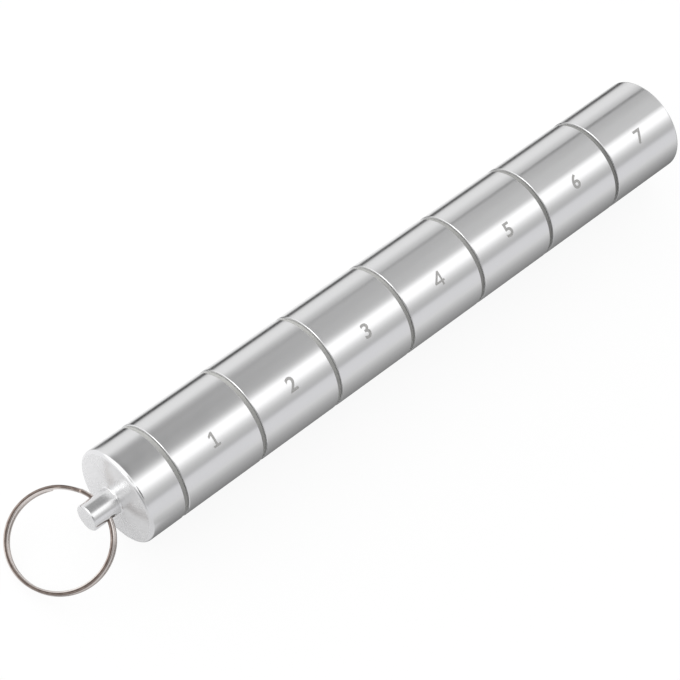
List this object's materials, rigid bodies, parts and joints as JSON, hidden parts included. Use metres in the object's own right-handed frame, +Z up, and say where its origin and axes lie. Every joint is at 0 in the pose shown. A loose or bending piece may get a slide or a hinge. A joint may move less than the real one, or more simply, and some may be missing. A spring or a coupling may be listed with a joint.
{
  "type": "pill tube",
  "caption": "Pocket tube of screw-together metal pill cups in one row, with an end cap, a drilled stem and a split key ring.",
  "frame": {"origin": "on the floor under the middle of the whole object's length, key ring included", "axes": "+X along the tube, from the cap towards the closed flat end; +Z up; the tube lies on its side"},
  "size_m": [0.1648, 0.0206, 0.02],
  "materials": {
    "satin_metal": "satin turned and polished aluminium",
    "seal_rubber": "smooth grey silicone rubber",
    "ring_wire": "bright nickel-plated spring steel"
  },
  "bodies": {
    "cup_7": {"cup_7": "satin_metal"},
    "seal_7": {"seal_7": "seal_rubber"},
    "cup_6": {"cup_6": "satin_metal"},
    "seal_6": {"seal_6": "seal_rubber"},
    "cup_5": {"cup_5": "satin_metal"},
    "seal_5": {"seal_5": "seal_rubber"},
    "cup_4": {"cup_4": "satin_metal"},
    "seal_4": {"seal_4": "seal_rubber"},
    "cup_3": {"cup_3": "satin_metal"},
    "seal_3": {"seal_3": "seal_rubber"},
    "cup_2": {"cup_2": "satin_metal"},
    "seal_2": {"seal_2": "seal_rubber"},
    "cup_1": {"cup_1": "satin_metal"},
    "seal_1": {"seal_1": "seal_rubber"},
    "cap": {"end_cap": "satin_metal"},
    "ring": {"key_ring": "ring_wire"}
  },
  "joints": [
    {"name": "turn_7", "type": "hinge", "parent": "cup_7", "child": "seal_7", "pos_m": [0.06393, 0, 0.01], "axis": [-1, 0, 0], "range_deg": [0, 1440]},
    {"name": "unscrew_7", "type": "slide", "parent": "seal_7", "child": "cup_6", "axis": [-1, 0, 0], "range_m": [0, 0.0048]},
    {"name": "turn_6", "type": "hinge", "parent": "cup_6", "child": "seal_6", "pos_m": [0.04453, 0, 0.01], "axis": [-1, 0, 0], "range_deg": [0, 1440]},
    {"name": "unscrew_6", "type": "slide", "parent": "seal_6", "child": "cup_5", "axis": [-1, 0, 0], "range_m": [0, 0.0048]},
    {"name": "turn_5", "type": "hinge", "parent": "cup_5", "child": "seal_5", "pos_m": [0.02513, 0, 0.01], "axis": [-1, 0, 0], "range_deg": [0, 1440]},
    {"name": "unscrew_5", "type": "slide", "parent": "seal_5", "child": "cup_4", "axis": [-1, 0, 0], "range_m": [0, 0.0048]},
    {"name": "turn_4", "type": "hinge", "parent": "cup_4", "child": "seal_4", "pos_m": [0.00573, 0, 0.01], "axis": [-1, 0, 0], "range_deg": [0, 1440]},
    {"name": "unscrew_4", "type": "slide", "parent": "seal_4", "child": "cup_3", "axis": [-1, 0, 0], "range_m": [0, 0.0048]},
    {"name": "turn_3", "type": "hinge", "parent": "cup_3", "child": "seal_3", "pos_m": [-0.01367, 0, 0.01], "axis": [-1, 0, 0], "range_deg": [0, 1440]},
    {"name": "unscrew_3", "type": "slide", "parent": "seal_3", "child": "cup_2", "axis": [-1, 0, 0], "range_m": [0, 0.0048]},
    {"name": "turn_2", "type": "hinge", "parent": "cup_2", "child": "seal_2", "pos_m": [-0.03307, 0, 0.01], "axis": [-1, 0, 0], "range_deg": [0, 1440]},
    {"name": "unscrew_2", "type": "slide", "parent": "seal_2", "child": "cup_1", "axis": [-1, 0, 0], "range_m": [0, 0.0048]},
    {"name": "turn_1", "type": "hinge", "parent": "cup_1", "child": "seal_1", "pos_m": [-0.05247, 0, 0.01], "axis": [-1, 0, 0], "range_deg": [0, 1440]},
    {"name": "unscrew_1", "type": "slide", "parent": "seal_1", "child": "cap", "axis": [-1, 0, 0], "range_m": [0, 0.0048]},
    {"name": "ring_swing", "type": "hinge", "parent": "cap", "child": "ring", "pos_m": [-0.06437, 0, 0.01], "axis": [0, 1, 0], "range_deg": [-85, 141]}
  ],
  "couplings": [
    {"joint": "unscrew_7", "follows": "turn_7", "m_per_rad": 0.00019098},
    {"joint": "unscrew_6", "follows": "turn_6", "m_per_rad": 0.00019098},
    {"joint": "unscrew_5", "follows": "turn_5", "m_per_rad": 0.00019098},
    {"joint": "unscrew_4", "follows": "turn_4", "m_per_rad": 0.00019098},
    {"joint": "unscrew_3", "follows": "turn_3", "m_per_rad": 0.00019098},
    {"joint": "unscrew_2", "follows": "turn_2", "m_per_rad": 0.00019098},
    {"joint": "unscrew_1", "follows": "turn_1", "m_per_rad": 0.00019098}
  ]
}
